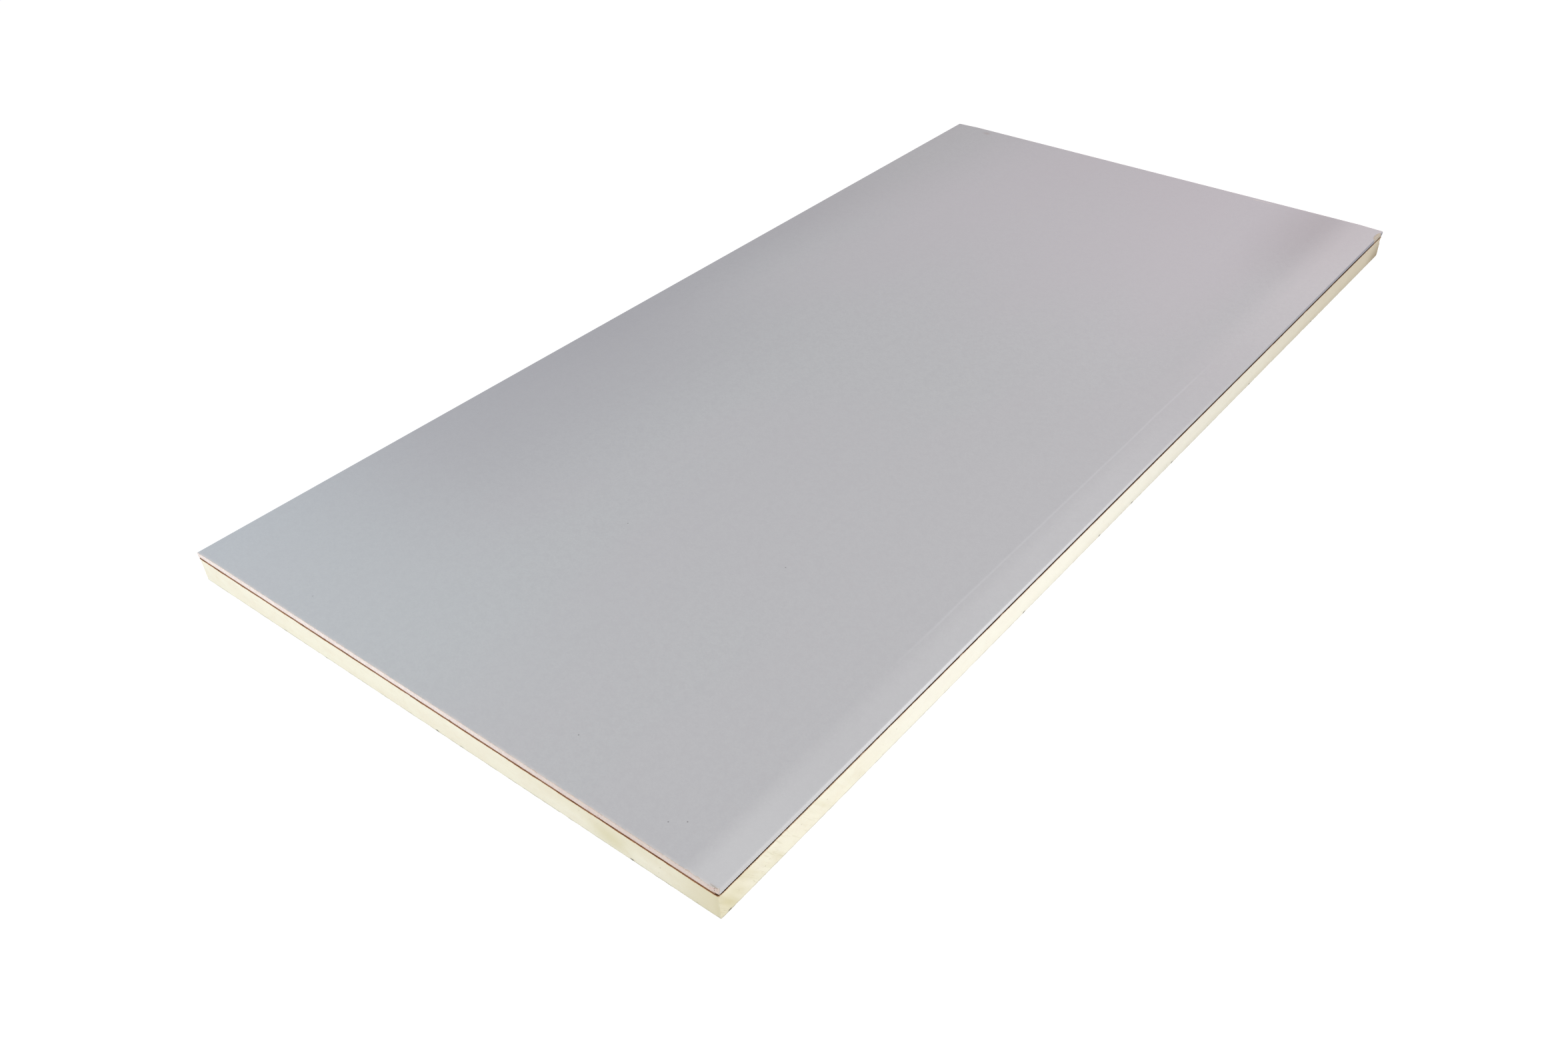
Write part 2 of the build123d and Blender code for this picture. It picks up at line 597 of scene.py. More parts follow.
def pressed(p, y, inset):
    """A point of that outline, with the rounding of its lower edge pressed squarer towards the
    near end and just at the far one, where the groove over the glue is narrower."""
    if abs(p.x) < half_width - lower_edge_radius or p.y > wrap_base + lower_edge_radius:
        return p
    corner = Vector((math.copysign(half_width - inset, p.x), wrap_base + inset))
    near_share = min(1.0, max(0.0, (near_press_start - y) / near_press_length))
    far_share = min(1.0, max(0.0, (y - far_press_start) / far_press_length))
    return p.lerp(corner, fullest_press * max(near_share, far_share))


def bowl(distance, radius):
    """1 at the middle of a round hollow and 0 at its rim."""
    return max(0.0, 1 - (distance / radius) ** 2)


# Chips and large pores at the near end, as X, height, radius and depth in metres
near_chips = (
    (-0.4887, 0.0544, 0.0022, 0.0020),
    (0.3776, 0.0528, 0.0018, 0.0018),
    (0.4632, 0.0539, 0.0020, 0.0018),
    (0.4995, 0.0584, 0.0018, 0.0016),
    (0.5480, 0.0616, 0.0024, 0.0018),
    (0.5640, 0.0608, 0.0020, 0.0018),
    (0.3300, 0.0617, 0.0020, 0.0012),
    (0.0900, 0.0619, 0.0022, 0.0010),
    (-0.2100, 0.0617, 0.0018, 0.0010),
)
crumbled_corner = Vector((0.6, 0.059))
crumbled_reach = 0.017

# Where a scrap of the face paper is missing on the right edge, along Y
scrap_middle = 1.166
scrap_length = 0.021


def end_hollow(x, z, near):
    """How far the sawn end of the gypsum is sunk in at that place."""
    side = 0.0 if near else 40.0
    saw = 0.5 + 0.5 * noise.noise(Vector((x * 30 + side, z * 60, 0.0)))
    grain = 0.5 + 0.5 * noise.noise(Vector((x * 420 + side, z * 420, 5.0)))
    hollow = 0.00012 + 0.0003 * saw + 0.00035 * grain * grain
    distances, _ = noise.voronoi(Vector((x * 150 + side, z * 150, 2.0)))
    pore_size = 0.16 + 0.22 * max(0.0, noise.noise(Vector((x * 90, z * 90, side))))
    hollow += 0.0009 * bowl(distances[0], pore_size)
    upper_edge = max(0.0, 1 - (wrap_base + wrap_height - z) / 0.0016)
    ragged = noise.noise(Vector((x * 130 + side, 3.0, 0.0))) + 0.15
    hollow += upper_edge * 0.0005 * max(0.0, ragged)
    if near:
        for chip_x, chip_z, radius, deep in near_chips:
            hollow += deep * bowl(math.hypot(x - chip_x, z - chip_z), radius)
        away = (Vector((x, z)) - crumbled_corner).length
        rough = 0.5 + 0.5 * noise.noise(Vector((x * 260, z * 260, 9.0)))
        hollow += 0.0042 * rough * max(0.0, 1 - away / crumbled_reach)
    return hollow


step_down = half_width - lap_width
core_half = [
    Vector((0, wrap_base)),
    Vector((step_down, wrap_base)),
    Vector((step_down, wrap_base + paper_thickness)),
    *wrap_outline(paper_thickness)[1:],
]
core_half = divided(core_half, 0.0016)
core_ring = core_half + [Vector((-p.x, p.y)) for p in reversed(core_half[1:-1])]

# Rows of points along the sheet, measured from the nearer end and denser there
row_distances = [0.0, 0.004, 0.010, 0.030, 0.3, 0.6, 0.9, 1.2]
core_rows = [row - half_length for row in row_distances]
core_rows += [half_length - row for row in row_distances[-2::-1]]
core_points = []
for y in core_rows:
    for p in core_ring:
        p = pressed(p, y, paper_thickness)
        core_points.append((p.x, y, sagged(p.x, y, p.y)))
count = len(core_ring)
core_faces = []
for row in range(len(core_rows) - 1):
    for i in range(count):
        j = (i + 1) % count
        start = row * count
        core_faces.append((start + j, start + i, start + count + i, start + count + j))

# Points over the cut ends, kept clear of the outline and of its rounded corners
grid_step = 0.0014
grid_rise = 0.00125
outline_gap = 0.0012
corner_gap = 0.0035
inner_points = []
for column in range(int(2 * half_width / grid_step)):
    for level in range(9):
        offset = 0.5 * grid_step if level % 2 else 0.0
        px = -half_width + outline_gap + column * grid_step + offset
        pz = wrap_base + outline_gap + level * grid_rise
        tapered = max(0.0, (abs(px) - half_width + taper_width) / taper_width)
        top = wrap_base + wrap_height - tapered * taper_depth
        low_or_high = pz < wrap_base + corner_gap or pz > top - corner_gap
        if abs(px) > half_width - corner_gap and low_or_high:
            continue
        if pz < top - outline_gap and abs(px) < half_width - outline_gap:
            inner_points.append(Vector((px, pz)))

for near in (True, False):
    y = core_rows[0] if near else core_rows[-1]
    inwards = 1 if near else -1
    first = 0 if near else (len(core_rows) - 1) * count
    loop = list(range(count))
    flat = [Vector(core_points[first + i]).xz for i in loop] + inner_points
    edges = [(i, (i + 1) % count) for i in loop]
    _, _, triangles, origins, _, _ = delaunay_2d_cdt(flat, edges, [loop], 1, 1e-7)
    numbers = [first + o[0] if o[0] < count else len(core_points) + o[0] - count for o in origins]
    for p in inner_points:
        core_points.append((p.x, y, p.y))
    for triangle in triangles:
        order = triangle if near else triangle[::-1]
        core_faces.append([numbers[i] for i in order])
    for i in set(numbers):
        px, _, pz = core_points[i]
        core_points[i] = (px, y + inwards * end_hollow(px, pz, near), pz)

core_mesh = bpy.data.meshes.new("gypsum_board")
core_mesh.from_pydata(core_points, [], core_faces)

look = Finish("cast_gypsum", "f6ece7")
grain = look.clouds(look.place, 0.0016, 4.0)
pores = look.clouds(look.place, 0.0022, 1.0).ramp(0.72, 0.80)
wide = look.clouds(look.place, 0.03, 3.0)
look.tint(wide.ramp(0.4, 0.7) * 0.7, "eee1dd")
across, _, high = look.place.parts()
# Painted shade: the sawn ends are darker and duller towards the right.
look.tint(across.ramp(-0.1, 0.45) * 0.55, "d0bfb6")
look.tint(look.clouds(look.place, 0.0045, 2.0).ramp(0.45, 0.65) * 0.4, "dccbcb")
look.tint(look.clouds(look.place, 0.006, 2.0, (1.5, 1.0, 1.0)).ramp(0.5, 0.68) * 0.4, "e6dac6")
look.tint(grain.ramp(0.5, 0.75) * 0.45, "d8c9c3")
face_top = wrap_base + wrap_height
by_face = high.ramp(face_top - 0.0022, face_top - 0.0004)
look.tint(by_face * 0.6, "e2bfa8")
by_back = high.ramp(wrap_base + 0.0022, wrap_base + 0.0002)
look.tint(by_back * 0.5, "dcb9ae")
# Painted shade in the pores.
look.tint(pores * 0.5, "94837c")
specks = look.clouds(look.place, 0.0016, 2.0).ramp(0.56, 0.68) * across.ramp(0.33, 0.52)
look.tint(specks * high.ramp(0.0585, 0.0615) * 0.7, "7d665a")
# Painted shade in the chips and large pores of the near end.
for chip_x, chip_z, radius, _ in near_chips:
    look.tint(look.near(look.place, (chip_x, -half_length, chip_z), radius) * 0.6, "5d4a42")
crumbly = look.near(look.place, (crumbled_corner.x, -half_length, crumbled_corner.y), 0.022)
look.tint(crumbly * look.clouds(look.place, 0.003).ramp(0.4, 0.6) * 0.7, "cfae9c")
# Painted shade in the hollows of the crumbled corner.
hollows = look.spots(look.place, 0.0034, 0.0011, 0.5).ramp(0.0, 0.5)
look.tint(crumbly.ramp(0.0, 0.4) * hollows, "754a32")
bare = look.near(look.place, (half_width, scrap_middle, 0.057), (0.03, 0.03, 0.03)).ramp(0.0, 0.3)
look.tint(bare * 0.75, "bdb49c")
look.tint(bare * look.clouds(look.place, 0.004).ramp(0.45, 0.6) * 0.6, "cdc7bc")
cast_gypsum = look.finish(0.92, grain + pores * -2 + wide * 0.5, 0.0004, Specular_IOR_Level=0.15)

core_mesh.materials.append(cast_gypsum)
core_mesh.shade_smooth()
core_mesh.set_sharp_from_angle(angle=math.radians(45))
gypsum_core = bpy.data.objects.new("gypsum_board", core_mesh)
bpy.context.scene.collection.objects.link(gypsum_core)
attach(gypsum_core, "root")
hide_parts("gypsum_core")


# Face paper: one sheet of smooth grey paper over the face, round both long edges and folded
# under the back. It was sawn with the board, is torn at the near corner, and has lost a scrap
# at the far right, where its cream inner plies show.
paper_half = [p for p in wrap_outline(0.0) if p.x > 0.1]
paper_half.insert(0, Vector((step_down, wrap_base)))
fine_part = divided(paper_half, 0.0014)
above_side = wrap_base + edge_height * 0.98
shoulder = half_width - 0.006
taper_part = [p for p in fine_part if p.y > above_side and p.x < shoulder]
edge_part = fine_part[: len(fine_part) - len(taper_part)]
face_columns = 300
flat_edge = half_width - taper_width - 0.006
right_part = edge_part + taper_part[::3]
right_part = [p for p in right_part if p.x > flat_edge + 0.001]
flat_part = [
    Vector((flat_edge * (1 - 2 * i / face_columns), face_top)) for i in range(face_columns + 1)
]
paper_line = right_part + flat_part + [Vector((-p.x, p.y)) for p in reversed(right_part)]

end_rows = [0.0, 0.0009, 0.002, 0.0034, 0.005, 0.007, 0.010, 0.014, 0.020, 0.030]
scrap_rows = [0.0115 + 0.0015 * i for i in range(34)]
near_rows = [row - half_length for row in end_rows]
far_rows = [half_length - row for row in sorted(set(end_rows[:7] + scrap_rows), reverse=True)]
plain_step = 0.055
plain_rows = [near_rows[-1] + plain_step * (i + 1) for i in range(40)]
plain_rows = [row for row in plain_rows if row < far_rows[0] - 0.02]
paper_rows = near_rows + plain_rows + far_rows
ragged_reach = 0.010


def ragged_end(x, z, near):
    """How far the sawn edge of the face paper is back from the end of the sheet."""
    side = 0.0 if near else 70.0
    back = 0.00015 + 0.0004 * (0.5 + 0.5 * noise.noise(Vector((x * 160 + side, z * 160, 1.0))))
    back += 0.0012 * max(0.0, noise.noise(Vector((x * 70 + side, z * 70, 6.0))) - 0.35)
    if near:
        for chip_x, chip_z, radius, deep in near_chips:
            if chip_z > 0.0605:
                back += 0.8 * deep * bowl(x - chip_x, radius * 1.4)
        away = math.hypot(x - half_width, (z - face_top) * 0.8)
        torn = 0.003 + 0.003 * noise.noise(Vector((x * 300, z * 300, 4.0)))
        back += torn * max(0.0, 1 - away / 0.016)
    return back


def is_torn_away(x, y, z):
    """Whether the face paper is missing at that place, on the right edge near the far corner."""
    if x < half_width - 0.014 or z < wrap_base + 0.001:
        return False
    rough = noise.noise(Vector((x * 300, y * 300, z * 300)))
    along = (y - scrap_middle) / scrap_length
    reach = 0.0070 * math.sqrt(max(0.0, 1 - along * along)) + 0.0012 * rough
    return abs(along) < 1 and half_width - x < reach and z > wrap_base + 0.002 + 0.001 * rough


paper_points = []
for y in paper_rows:
    from_near = y + half_length
    from_far = half_length - y
    for p in paper_line:
        shift = 0.0
        if from_near < ragged_reach:
            shift = ragged_end(p.x, p.y, True) * (1 - from_near / ragged_reach)
        elif from_far < ragged_reach:
            shift = -ragged_end(p.x, p.y, False) * (1 - from_far / ragged_reach)
        p = pressed(p, y, 0.0)
        paper_points.append((p.x, y + shift, sagged(p.x, y, p.y)))
count = len(paper_line)
paper_faces = []
for row in range(len(paper_rows) - 1):
    for i in range(count - 1):
        x = (paper_line[i].x + paper_line[i + 1].x) / 2
        z = (paper_line[i].y + paper_line[i + 1].y) / 2
        if is_torn_away(x, (paper_rows[row] + paper_rows[row + 1]) / 2, z):
            continue
        start = row * count + i
        paper_faces.append((start + 1, start, start + count, start + 1 + count))

# The rim of the torn place, smoothed from point to point along itself
side_use = {}
for face in paper_faces:
    for a, b in zip(face, face[1:] + face[:1]):
        side = (min(a, b), max(a, b))
        side_use[side] = side_use.get(side, 0) + 1
beside = {}
for (a, b), uses in side_use.items():
    by_scrap = all(abs(paper_points[i][1] - scrap_middle) < 1.2 * scrap_length for i in (a, b))
    if uses == 1 and by_scrap:
        beside.setdefault(a, []).append(b)
        beside.setdefault(b, []).append(a)
for _ in range(4):
    for i, others in beside.items():
        if len(others) == 2:
            halfway = (Vector(paper_points[others[0]]) + Vector(paper_points[others[1]])) / 2
            paper_points[i] = tuple(Vector(paper_points[i]).lerp(halfway, 0.5))

paper_mesh = bpy.data.meshes.new("face_paper_wrap")
paper_mesh.from_pydata(paper_points, [], paper_faces)

# Small dark specks on the face, as X and Y in metres
dark_specks = (
    (0.2519, -0.6296),
    (0.4693, -1.1538),
    (0.2518, -1.1118),
    (-0.3336, -1.1521),
    (-0.0494, -0.6982),
    (0.4906, -1.1379),
)
look = Finish("smooth_grey_paper", "bfc0c1")
fibres = look.clouds(look.place, 0.0013, 4.0, (1.0, 2.2, 1.0))
patches = look.clouds(look.place, 0.011, 3.0)
drift = look.clouds(look.place, 0.35, 2.0, (1.0, 2.5, 1.0))
streaks = look.clouds(look.place, 0.012, 2.0, (1.0, 60.0, 1.0))
look.tint(fibres.ramp(0.35, 0.7) * 0.5, "b6b7b9")
look.tint(patches.ramp(0.4, 0.7) * 0.5, "b7b7b9")
look.tint(look.clouds(look.place, 0.0045, 3.0).ramp(0.4, 0.7) * 0.4, "b4b5b7")
look.tint(streaks.ramp(0.45, 0.7) * 0.25, "b8b9bb")
look.tint(drift.ramp(0.4, 0.62) * 0.35, "bdbabd")
flecks = look.spots(look.place, 0.007, 0.0006, 0.2).ramp(0.0, 0.7)
look.tint(flecks * 0.22, "8a8a8c")
moved_place = look.vector("ADD", look.place, (3.1, 0.4, 0.0))
motes = look.spots(moved_place, 0.016, 0.0008, 0.12).ramp(0.0, 0.6)
look.tint(motes * 0.4, "e8e8e6")
look.tint(look.near(look.place, (-0.495, 1.177, face_top), (0.018, 0.012, 0.02)) * 0.3, "957a68")
# Painted dark reflection: a soft darker patch on the face near the far right.
look.tint(look.near(look.place, (0.46, 1.12, face_top), (0.16, 0.42, 0.2)) * 0.38, "a1999b")
for speck in dark_specks:
    look.tint(look.near(look.place, (*speck, face_top), 0.0018) * 0.8, "4e4c4b")
x, y, _ = look.place.parts()
# Painted sheen: the face is lighter along the right edge towards the far end.
painted_sheen_band = x.ramp(0.47, 0.55) * y.ramp(0.1, 1.0)
look.tint(painted_sheen_band * 0.4, "d6d2d3")
# Painted shade: the face is darker along the left edge, and over its left part towards the near
# end.
painted_left_shade = x.ramp(-0.42, -0.6) * (y - 0.1).size().ramp(0.95, 0.2)
look.tint(painted_left_shade * 0.35, "a5a2a8")
look.tint(x.ramp(-0.1, -0.5) * (y + 0.45).size().ramp(0.75, 0.15) * 0.5, "aaa8ac")
# Painted light: the middle of the face is lighter and warmer towards the far end.
look.tint(x.size().ramp(0.58, 0.3) * y.ramp(-0.1, 0.9) * 0.4, "ccc7cc")
# Painted light: the near left of the face has a cool blue-grey cast.
look.tint(x.ramp(0.3, -0.2) * y.ramp(-0.7, -1.1) * 0.3, "bcc3c5")
# Painted sheen: the right taper is lighter over the near half, most of all at the near corner.
tapered = x.ramp(0.53, 0.57)
look.tint(tapered * (y.ramp(0.4, -0.2) * 0.2 + y.ramp(-0.9, -1.15) * 0.2), "d6d6d6")
# Painted highlight: a light line along the crease where the right taper starts, over the middle.
ridge = (x.size() - look.clouds(look.place, 0.25, 2.0) * 0.007 - 0.5335).size().ramp(0.0035, 0.0)
look.tint(ridge * x.ramp(0.4, 0.5) * (y + 0.15).size().ramp(0.62, 0.4) * 0.3, "d2d2d4")
peeled = look.near(look.place, (0.296, 1.190, face_top), (0.05, 0.0022, 0.02)).ramp(0.0, 0.5)
look.tint(peeled * look.clouds(look.place, 0.008).ramp(0.35, 0.6) * 0.7, "dfd8cd")
by_end = y.size().ramp(half_length - 0.006, half_length - 0.0005)
look.tint(by_end * patches.ramp(0.35, 0.6) * 0.5, "d9d3cf")
by_edge = x.size().ramp(half_width - 0.0012, half_width - 0.0002)
lit_edge = y.ramp(-1.25, -0.7) * y.ramp(0.5, -0.75) * 0.5
look.tint(by_edge * lit_edge, "eff0f1")
# Painted shade: the right wrapped edge is darker and bluer towards the far end.
look.tint(by_edge * x.ramp(0.0, 0.1) * y.ramp(0.1, 1.0) * 0.85, "9b9ca4")
look.tint(by_edge * y.ramp(half_length - 0.008, half_length - 0.001) * 0.3, "8a8782")
smooth_grey_paper = look.finish(
    fibres * 0.12 + 0.5 + by_edge * 0.1, fibres + patches * 0.8 + streaks * 0.5, 0.00012
)

look = Finish("cream_paper_plies", "dccdb2")
fibres = look.clouds(look.place, 0.0009, 4.0, (2.5, 1, 1))
look.tint(fibres.ramp(0.4, 0.7) * 0.6, "c3ab8c")
look.tint(look.clouds(look.place, 0.006).ramp(0.5, 0.75) * 0.5, "b08b72")
cream_paper_plies = look.finish(0.95, fibres, 0.0003, Specular_IOR_Level=0.15)

paper_mesh.materials.append(smooth_grey_paper)
paper_mesh.materials.append(cream_paper_plies)
paper_mesh.shade_smooth()
paper_mesh.set_sharp_from_angle(angle=math.radians(50))
face_paper = bpy.data.objects.new("face_paper_wrap", paper_mesh)
bpy.context.scene.collection.objects.link(face_paper)
thickness = face_paper.modifiers.new("paper_thickness", "SOLIDIFY")
thickness.thickness = paper_thickness
thickness.offset = -1
thickness.material_offset = 1
thickness.material_offset_rim = 1
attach(face_paper, "root")
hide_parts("face_paper")


# Torn flap: the scrap of face paper that was lifted at the near corner when it was knocked. It
# still hangs on by its fibres, and it curls up and back, with its cream plies showing.
flap_left = 0.5835
flap_right = 0.5975
flap_root = -1.1953
flap_curl = 0.0011
flap_thickness = 0.0003
flap_points = []
flap_faces = []
flap_columns = 16
flap_rows = 8
for column in range(flap_columns + 1):
    x = flap_left + (flap_right - flap_left) * column / flap_columns
    rough = 0.5 + 0.5 * noise.noise(Vector((x * 400, 2.0, 0.0)))
    turned = (1.1 + 1.3 * rough) * math.sin(math.pi * (0.08 + 0.84 * column / flap_columns)) ** 0.5
    drop = taper_depth * (x - half_width + taper_width) / taper_width
    rest_height = wrap_base + wrap_height - drop
    for row in range(flap_rows + 1):
        angle = turned * row / flap_rows
        y = flap_root - flap_curl * math.sin(angle) - 0.0012 * row / flap_rows * rough
        z = rest_height - 0.0001 + flap_curl * 0.7 * (1 - math.cos(angle))
        flap_points.append((x + 0.0008 * rough * row / flap_rows, y, z))
for column in range(flap_columns):
    for row in range(flap_rows):
        start = column * (flap_rows + 1) + row
        flap_faces.append((start, start + 1, start + flap_rows + 2, start + flap_rows + 1))
flap_mesh = bpy.data.meshes.new("torn_flap")
flap_mesh.from_pydata(flap_points, [], flap_faces)
flap_mesh.materials.append(smooth_grey_paper)
flap_mesh.materials.append(cream_paper_plies)
flap_mesh.shade_smooth()
torn_flap = bpy.data.objects.new("torn_flap", flap_mesh)
bpy.context.scene.collection.objects.link(torn_flap)
thickness = torn_flap.modifiers.new("paper_thickness", "SOLIDIFY")
thickness.thickness = flap_thickness
thickness.offset = -1
thickness.material_offset = 1
thickness.material_offset_rim = 1
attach(torn_flap, "root")


# Paper fibres: short hairs of the face paper that the saw left hanging over the cut gypsum
# at both ends.
hanging_fibres = Recipe(
    "hanging_fibres",
    {"Count": "Int", "Shortest": "Float", "Longest": "Float", "Width": "Float", "Seed": "Int"},
)
given = hanging_fibres.given
edge = hanging_fibres.node("GeometryNodeMeshToCurve", {}, {"Mesh": given("Geometry")})
roots = hanging_fibres.node(
    "GeometryNodeCurveToPoints", {"mode": "COUNT"}, {"Curve": edge, "Count": given("Count")}
)
bent = hanging_fibres.node(
    "GeometryNodeCurveQuadraticBezier",
    {},
    {"Resolution": 3, "Start": (0, 0, 0), "Middle": (0.25, 0, -0.5), "End": (0, 0, -1)},
)
section = hanging_fibres.node(
    "GeometryNodeCurvePrimitiveCircle",
    {"mode": "RADIUS"},
    {"Resolution": 3, "Radius": given("Width")},
)
hair = hanging_fibres.node(
    "GeometryNodeCurveToMesh", {}, {"Curve": bent, "Profile Curve": section, "Fill Caps": True}
)
random_value = "FunctionNodeRandomValue"
turn = hanging_fibres.node(
    random_value,
    {"data_type": "FLOAT_VECTOR"},
    {"Min": (0.0, -1.4, -0.2), "Max": (0.0, 1.4, 0.2), "Seed": given("Seed")},
)
length = hanging_fibres.node(
    random_value,
    {"data_type": "FLOAT"},
    {"Min": given("Shortest"), "Max": given("Longest"), "Seed": given("Seed") + 1},
)
aside = hanging_fibres.node(
    random_value,
    {"data_type": "FLOAT_VECTOR"},
    {"Min": (-0.0015, 0.0, -0.0004), "Max": (0.0015, 0.0, 0.0002), "Seed": given("Seed") + 2},
)
roots = hanging_fibres.move(roots, Offset=aside)
hairs = hanging_fibres.node(
    "GeometryNodeInstanceOnPoints",
    {},
    {"Points": roots, "Instance": hair, "Rotation": turn, "Scale": length},
)
hanging_fibres.finish(hairs)

look = Finish("loose_fibres", "cdb59c")
fine = look.clouds(look.place, 0.002)
look.tint(fine.ramp(0.4, 0.6), "a88a70")
loose_fibres = look.finish(0.95, fine, 0.0001, Specular_IOR_Level=0.15)

taper_drop = 0.0019
for name, end, seed in (("near_fibres", -1, 4), ("far_fibres", 1, 9)):
    edge_mesh = bpy.data.meshes.new(name)
    height = wrap_base + wrap_height - paper_thickness * 0.8
    low = height - taper_drop
    line = [(-0.596, low), (-0.54, height), (0.54, height), (0.596, low)]
    edge_mesh.from_pydata(
        [(x, end * (half_length - 0.00045), z) for x, z in line], [(0, 1), (1, 2), (2, 3)], []
    )
    fibres = hanging_fibres.make(
        name,
        {
            "Count": 420,
            "Shortest": 0.0004,
            "Longest": 0.0022,
            "Width": 0.06,
            "Seed": seed,
            "Material": loose_fibres,
        },
        edge_mesh,
    )
    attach(fibres, "root")


# Crumbs and dust: grains of gypsum broken out by the saw and by the knock. They lie at the near
# corner and along the near end of the face.
crumbs = Recipe(
    "crumbs", {"Density": "Float", "Smallest": "Float", "Largest": "Float", "Seed": "Int"}
)
given = crumbs.given
spread = crumbs.node(
    "GeometryNodeDistributePointsOnFaces",
    {},
    {"Mesh": given("Geometry"), "Density": given("Density"), "Seed": given("Seed")},
    "Points",
)
ball = crumbs.node("GeometryNodeMeshIcoSphere", {}, {"Radius": 1.0, "Subdivisions": 1})
uneven = crumbs.node("ShaderNodeTexNoise", {}, {"Vector": crumbs.place, "Scale": 1.3}, "Color")
lump = crumbs.move(ball, Offset=crumbs.vector("SUBTRACT", uneven, (0.5, 0.5, 0.5)))
turn = crumbs.node(
    random_value,
    {"data_type": "FLOAT_VECTOR"},
    {"Max": (0.4, 0.4, 6.28), "Seed": given("Seed") + 1},
)
shape = crumbs.node(
    random_value,
    {"data_type": "FLOAT_VECTOR"},
    {"Min": (0.7, 0.5, 0.35), "Max": (1.2, 0.9, 0.6), "Seed": given("Seed") + 2},
)
size = crumbs.node(
    random_value,
    {"data_type": "FLOAT"},
    {"Min": given("Smallest"), "Max": given("Largest"), "Seed": given("Seed") + 3},
)
scale = crumbs.node(
    "ShaderNodeVectorMath", {"operation": "SCALE"}, {"Vector": shape, "Scale": size}
)
crumbs.finish(
    crumbs.node(
        "GeometryNodeInstanceOnPoints",
        {},
        {"Points": spread, "Instance": lump, "Rotation": turn, "Scale": scale},
    )
)

look = Finish("gypsum_crumbs", "f0e8e4")
grain = look.clouds(look.place, 0.0008)
look.tint(look.clouds(look.place, 0.003).ramp(0.5, 0.6), "cfb3a2")
gypsum_crumbs = look.finish(0.95, grain, 0.0002, Specular_IOR_Level=0.15)


def lying_place(name, corners):
    """A start mesh for crumbs: one four-sided patch of the surface that they lie on."""
    patch = bpy.data.meshes.new(name)
    patch.from_pydata(corners, [], [(0, 1, 2, 3)])
    return patch


dust_height = wrap_base + wrap_height - 0.0004
# Name, reach along X and Y, height, grains per square metre, smallest and largest radius
heaps = (
    ("corner_crumbs", (0.584, 0.599), (-1.1994, -1.1952), 0.0603, 9e5, 0.0003, 0.0009),
    ("end_dust", (-0.54, 0.54), (-1.1990, -1.1840), dust_height, 2.2e4, 0.00018, 0.00042),
    ("scattered_dust", (-0.42, 0.3), (-1.184, -1.05), dust_height, 1.2e3, 0.00018, 0.0004),
)
for seed, (name, x_range, y_range, height, density, smallest, largest) in enumerate(heaps):
    (x0, x1), (y0, y1) = x_range, y_range
    corners = [(x, y, height) for x, y in ((x0, y0), (x1, y0), (x1, y1), (x0, y1))]
    patch = lying_place(name, corners)
    heap = crumbs.make(
        name,
        {
            "Density": density,
            "Smallest": smallest,
            "Largest": largest,
            "Seed": seed + 5,
            "Material": gypsum_crumbs,
        },
        patch,
    )
    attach(heap, "root")


# Studio: a pale floor that shows white to the camera and keeps the sheet's shadow, a white
# surround, and large soft lamps. The weak tinted ones give the face its drift in tone.
floor_reach = 30.0
floor_mesh = bpy.data.meshes.new("floor")
floor_mesh.from_pydata(
    [(x * floor_reach, y * floor_reach, 0) for x, y in ((-1, -1), (1, -1), (1, 1), (-1, 1))],
    [],
    [(0, 1, 2, 3)],
)
floor = bpy.data.objects.new("floor", floor_mesh)
bpy.context.scene.collection.objects.link(floor)
pale_floor = bpy.data.materials.new("pale_floor")
pale_floor.use_nodes = True
pale_floor.node_tree.nodes.clear()
look = Nodes(pale_floor.node_tree)
seen = look.node("ShaderNodeLightPath", output="Is Camera Ray")
matt = look.node("ShaderNodeBsdfDiffuse", {}, {"Color": (0.8, 0.8, 0.8, 1)})
dim = look.node("ShaderNodeBsdfDiffuse", {}, {"Color": (0.35, 0.35, 0.35, 1)})
glow = look.node("ShaderNodeEmission", {}, {"Color": (1, 1, 1, 1), "Strength": 0.79})
bright = look.node("ShaderNodeAddShader", {}, {0: dim, 1: glow})
surface = look.node("ShaderNodeMixShader", {}, {0: seen, 1: matt, 2: bright})
look.node("ShaderNodeOutputMaterial", {}, {"Surface": surface})
floor_mesh.materials.append(pale_floor)

world = bpy.data.worlds.new("studio")
bpy.context.scene.world = world
world.use_nodes = True
world.node_tree.nodes.clear()
look = Nodes(world.node_tree)
seen = look.node("ShaderNodeLightPath", output="Is Camera Ray")
soft = look.node("ShaderNodeBackground", {}, {"Color": (1, 1, 1, 1), "Strength": 0.6})
white = look.node("ShaderNodeBackground", {}, {"Color": (1, 1, 1, 1), "Strength": 1.0})
mixed = look.node("ShaderNodeMixShader", {}, {0: seen, 1: soft, 2: white})
look.node("ShaderNodeOutputWorld", {}, {"Surface": mixed})


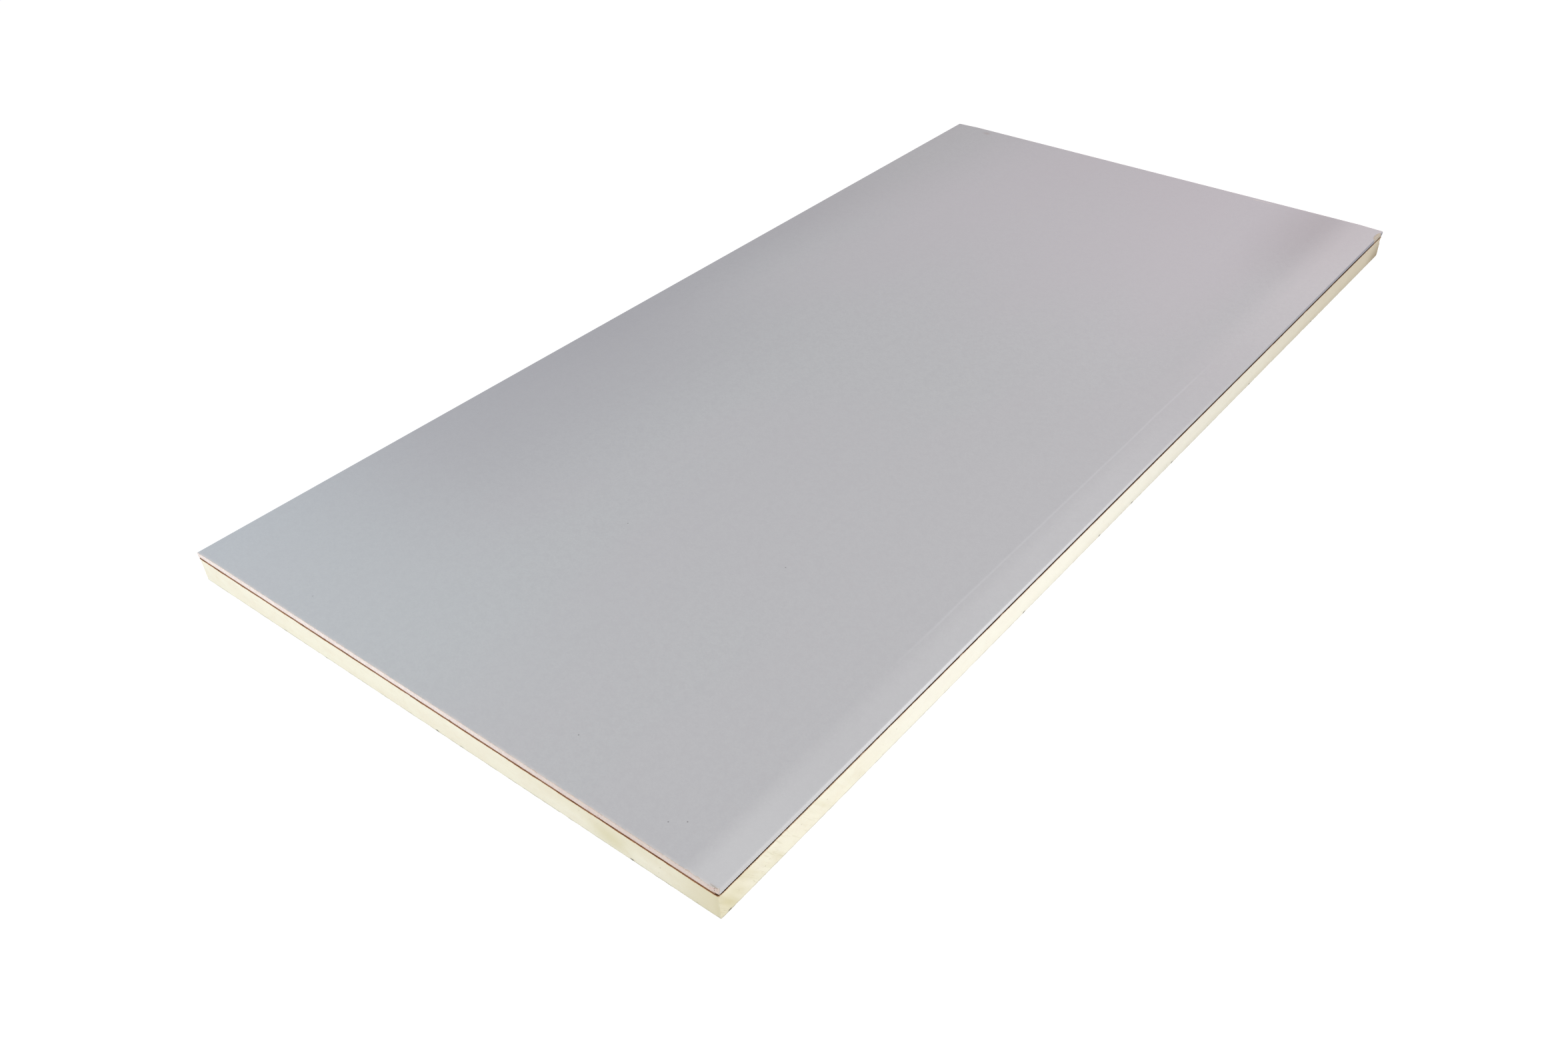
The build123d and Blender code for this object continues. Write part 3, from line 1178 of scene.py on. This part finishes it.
def soft_lamp(name, place, aim, width, height, watts, tint):
    """A rectangular lamp in metres and watts that faces the point it is aimed at."""
    lamp = bpy.data.lights.new(name, "AREA")
    lamp.shape = "RECTANGLE"
    lamp.size = width
    lamp.size_y = height
    lamp.energy = watts
    lamp.color = tint
    holder = bpy.data.objects.new(name, lamp)
    turn = (Vector(aim) - Vector(place)).to_track_quat("-Z", "Y")
    holder.matrix_world = Matrix.Translation(place) @ turn.to_matrix().to_4x4()
    bpy.context.scene.collection.objects.link(holder)


neutral = (1.0, 1.0, 1.0)
soft_lamp("low_right_lamp", (2.6, -0.6, 0.35), (0.6, -0.6, 0.03), 1.2, 0.5, 15, neutral)
soft_lamp("upper_lamp", (1.3, 0.2, 2.6), (0.2, 0.2, 0.06), 2.0, 2.0, 20, neutral)
soft_lamp("front_lamp", (-0.5, -3.2, 1.0), (0.0, -1.2, 0.03), 1.2, 0.8, 21, neutral)
soft_lamp("left_lamp", (-2.2, -1.15, 1.2), (-0.4, -1.1, 0.06), 0.8, 0.8, 7, (0.4, 0.66, 1.0))
soft_lamp("far_lamp", (0.5, 2.7, 1.6), (0.2, 0.9, 0.06), 1.6, 0.8, 7.5, (1.0, 0.55, 0.75))

# Camera: where the photo was taken from, fitted to the straight edges of the sheet. Pixels are
# those of the photo, lengths are in metres, and the lens is shifted by the off-centre framing.
photo_width = 2352
photo_height = 1568
focal_length = 1979.9
optical_centre = (1235.9, 905.6)
camera_place = Vector((1.3789, -1.9358, 1.4610))
view_direction = Vector((-0.474311, 0.592023, -0.651566))
roll = math.radians(-1.530)

lens = bpy.data.cameras.new("camera")
lens.sensor_width = 36.0
lens.lens = focal_length / photo_width * lens.sensor_width
lens.shift_x = (photo_width / 2 - optical_centre[0]) / photo_width
lens.shift_y = (optical_centre[1] - photo_height / 2) / photo_width
camera = bpy.data.objects.new("camera", lens)
level = view_direction.to_track_quat("-Z", "Y").to_matrix().to_4x4()
camera.matrix_world = Matrix.Translation(camera_place) @ level @ Matrix.Rotation(roll, 4, "Z")
bpy.context.scene.collection.objects.link(camera)
bpy.context.scene.camera = camera
bpy.context.scene.view_settings.view_transform = "Standard"
